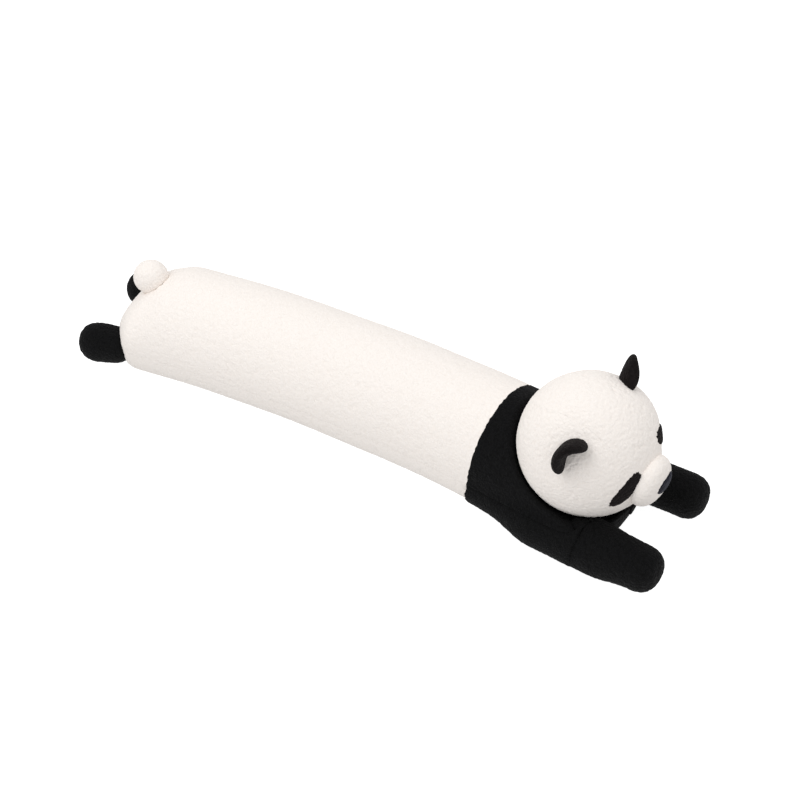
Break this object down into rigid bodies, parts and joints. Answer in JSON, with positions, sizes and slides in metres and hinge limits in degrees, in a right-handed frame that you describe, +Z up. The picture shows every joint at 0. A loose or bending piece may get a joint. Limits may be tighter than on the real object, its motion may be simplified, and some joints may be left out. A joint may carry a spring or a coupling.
{
  "type": "plush panda bolster",
  "caption": "Long plush panda bolster lying flat: padded cream body, black yoke with stub limbs, ball head with muzzle, patches and ears, and a ball tail.",
  "frame": {"origin": "on the floor under the middle of the body, at the flat of the belly", "axes": "+X along the body towards the head, +Y to the animal's left, +Z up"},
  "size_m": [0.9058, 0.2132, 0.2381],
  "materials": {
    "cream_fleece": "teddy fleece with short pebbly curls, cream",
    "black_fleece": "teddy fleece with short pebbly curls, black",
    "ear_fleece": "teddy fleece, brownish black",
    "nose_plush": "short velvet pile, navy black",
    "stuffing": "white polyester fibre filling",
    "cream_thread": "spun polyester sewing thread, cream",
    "black_thread": "spun polyester sewing thread, black"
  },
  "bodies": {
    "torso": {"back_panel": "cream_fleece", "belly_panel": "cream_fleece", "side_seam_stitching": "cream_thread", "yoke_back_panel": "black_fleece", "yoke_chest_panel": "black_fleece", "yoke_side_stitching": "black_thread", "yoke_seam_stitching": "black_thread", "body_stuffing": "stuffing", "yoke_stuffing": "stuffing"},
    "neck": {"neck_closing_disc": "cream_fleece", "neck_stitching": "cream_thread"},
    "head": {"head_left_panel": "cream_fleece", "head_right_panel": "cream_fleece", "head_crown_panel": "cream_fleece", "head_seam_stitching": "cream_thread", "head_stuffing": "stuffing", "muzzle_cover": "cream_fleece", "muzzle_stuffing": "stuffing", "nose_patch": "nose_plush", "left_eye_patch": "black_fleece", "right_eye_patch": "black_fleece"},
    "left_ear": {"left_ear_back": "ear_fleece", "left_ear_front": "ear_fleece"},
    "left_arm": {"left_arm_cover": "black_fleece", "left_arm_stuffing": "stuffing"},
    "left_leg": {"left_leg_cover": "black_fleece", "left_leg_stuffing": "stuffing"},
    "right_ear": {"right_ear_back": "ear_fleece", "right_ear_front": "ear_fleece"},
    "right_arm": {"right_arm_cover": "black_fleece", "right_arm_stuffing": "stuffing"},
    "right_leg": {"right_leg_cover": "black_fleece", "right_leg_stuffing": "stuffing"},
    "tail": {"tail_cover": "cream_fleece", "tail_stuffing": "stuffing"}
  },
  "joints": [
    {"name": "head_turn", "type": "hinge", "parent": "torso", "child": "neck", "pos_m": [0.31149, -0.01606, 0.13], "axis": [0.572, -0.0427, 0.8192], "range_deg": [-30, 30]},
    {"name": "head_nod", "type": "hinge", "parent": "neck", "child": "head", "pos_m": [0.31149, -0.01606, 0.13], "axis": [0.174, 0.9607, 0.2164], "range_deg": [-20, 5]},
    {"name": "left_ear_fold", "type": "hinge", "parent": "head", "child": "left_ear", "pos_m": [0.33847, 0.02797, 0.20493], "axis": [-0.4582, 0.8285, -0.3219], "range_deg": [-35, 35], "stiffness_Nm_per_rad": 0.02},
    {"name": "left_arm_swing", "type": "hinge", "parent": "torso", "child": "left_arm", "pos_m": [0.34539, 0.0486, 0.041], "axis": [0, 0, 1], "range_deg": [-4, 40]},
    {"name": "left_leg_swing", "type": "hinge", "parent": "torso", "child": "left_leg", "pos_m": [-0.40022, 0.03155, 0.046], "axis": [0, 0, -1], "range_deg": [-10, 25]},
    {"name": "right_ear_fold", "type": "hinge", "parent": "head", "child": "right_ear", "pos_m": [0.31648, -0.09348, 0.17756], "axis": [0.6831, 0.4137, 0.6018], "range_deg": [-35, 35], "stiffness_Nm_per_rad": 0.02},
    {"name": "right_arm_swing", "type": "hinge", "parent": "torso", "child": "right_arm", "pos_m": [0.3474, -0.08593, 0.041], "axis": [0, 0, -1], "range_deg": [-4, 40]},
    {"name": "right_leg_swing", "type": "hinge", "parent": "torso", "child": "right_leg", "pos_m": [-0.38078, -0.09092, 0.046], "axis": [0, 0, 1], "range_deg": [-10, 25]},
    {"name": "tail_wag", "type": "hinge", "parent": "torso", "child": "tail", "pos_m": [-0.35889, -0.02467, 0.131], "axis": [-0.1567, 0.9876, 0], "range_deg": [-20, 20], "stiffness_Nm_per_rad": 0.02}
  ]
}
